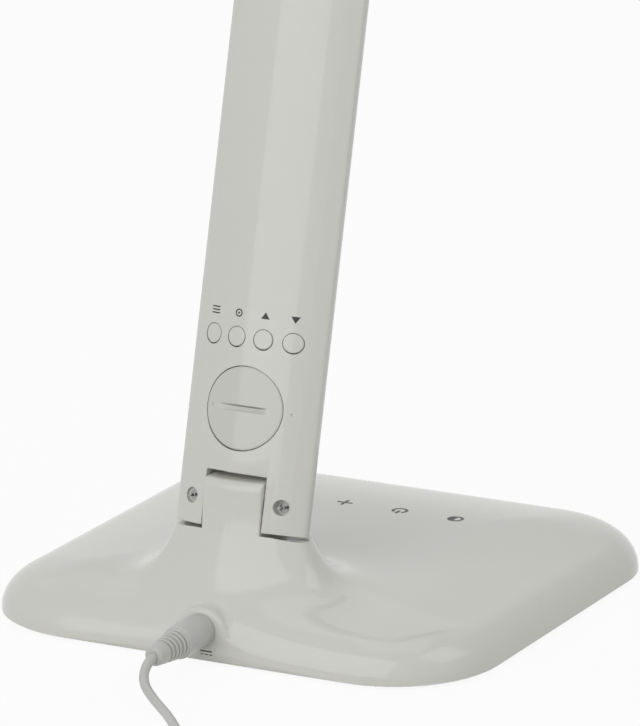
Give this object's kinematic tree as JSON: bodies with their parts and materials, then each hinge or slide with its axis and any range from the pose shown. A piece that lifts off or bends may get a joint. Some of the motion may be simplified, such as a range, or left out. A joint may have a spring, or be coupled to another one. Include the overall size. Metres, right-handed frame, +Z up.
{
  "type": "folding desk lamp",
  "caption": "Folding desk lamp with a broad moulded base and touch keys, a leaning arm with clock buttons and battery cover, a slim light head and a low-voltage supply cord.",
  "frame": {"origin": "middle of the base's footprint on the table", "axes": "+Z up; the lamp's front and its head point along -Y; +X is to the right of a person who looks at the front"},
  "size_m": [0.2039, 0.5726, 0.3817],
  "materials": {
    "white_abs": "moulded gloss",
    "black_abs": "moulded matt",
    "rubber_pad": "matt",
    "steel": "zinc-plated",
    "weight_steel": "rolled, raw",
    "bright_metal": "nickel-plated",
    "brass": "plain",
    "circuit_board": "solder resist",
    "wire": "insulation",
    "display_lens": "clear",
    "display_glass": "polarised",
    "opal": "opal",
    "lamp_board": "white resist",
    "lamp": "phosphor",
    "white_sheet": "matt",
    "cord_pvc": "satin",
    "tie": "matt",
    "insert": "plain"
  },
  "bodies": {
    "base": {"base_cover": "white_abs", "base_plate": "black_abs", "base_pad": "rubber_pad", "base_screws": "steel", "counterweight": "weight_steel", "board_standoffs": "brass", "touch_board": "circuit_board", "touch_springs": "brass", "dc_jack": "black_abs", "jack_pin": "bright_metal", "base_wire": "wire", "lower_washers": "steel", "dc_plug": "cord_pvc", "plug_barrel": "bright_metal", "cord_run": "cord_pvc", "cord_coil": "cord_pvc", "cord_tail": "cord_pvc", "cord_tie": "tie", "usb_plug": "cord_pvc", "usb_shell": "bright_metal", "usb_insert": "insert"},
    "arm": {"lower_shaft": "steel", "lower_screws": "steel", "arm_rear_shell": "white_abs", "arm_front_cover": "white_abs", "display_window": "display_lens", "display_panel": "display_glass", "clock_board": "circuit_board", "board_screws": "steel", "tact_switches": "black_abs", "battery_cup": "black_abs", "battery_contact": "brass", "coin_cell": "bright_metal", "arm_wire": "wire", "upper_shaft": "steel", "upper_screws": "steel"},
    "mode_button": {"button_mode": "white_abs"},
    "set_button": {"button_set": "white_abs"},
    "up_button": {"button_up": "white_abs"},
    "down_button": {"button_down": "white_abs"},
    "battery_lid": {"battery_cover": "white_abs"},
    "head": {"head_neck": "white_abs", "upper_washers": "steel", "head_shell": "white_abs", "head_bezel": "white_abs", "diffuser": "opal", "led_board": "lamp_board", "leds": "lamp", "reflector_sheet": "white_sheet", "led_screws": "steel", "neck_screws": "steel", "bezel_screws": "steel"}
  },
  "joints": [
    {"name": "arm_tilt", "type": "hinge", "parent": "base", "child": "arm", "pos_m": [0, 0.0525, 0.0434], "axis": [1, 0, 0], "range_deg": [-14.4, 75.6]},
    {"name": "head_tilt", "type": "hinge", "parent": "arm", "child": "head", "pos_m": [0, -0.03102, 0.36266], "axis": [1, 0, 0], "range_deg": [-45, 104.4]},
    {"name": "battery_cover_turn", "type": "hinge", "parent": "arm", "child": "battery_lid", "pos_m": [0, 0.05026, 0.07225], "axis": [0, 0.9686, 0.2487], "range_deg": [0, 50]},
    {"name": "mode_press", "type": "slide", "parent": "arm", "child": "mode_button", "axis": [0, -0.9686, -0.2487], "range_m": [0, 0.0005], "stiffness_N_per_m": 1200, "springref_m": -0.0005},
    {"name": "set_press", "type": "slide", "parent": "arm", "child": "set_button", "axis": [0, -0.9686, -0.2487], "range_m": [0, 0.0005], "stiffness_N_per_m": 1200, "springref_m": -0.0005},
    {"name": "up_press", "type": "slide", "parent": "arm", "child": "up_button", "axis": [0, -0.9686, -0.2487], "range_m": [0, 0.0005], "stiffness_N_per_m": 1200, "springref_m": -0.0005},
    {"name": "down_press", "type": "slide", "parent": "arm", "child": "down_button", "axis": [0, -0.9686, -0.2487], "range_m": [0, 0.0005], "stiffness_N_per_m": 1200, "springref_m": -0.0005}
  ]
}
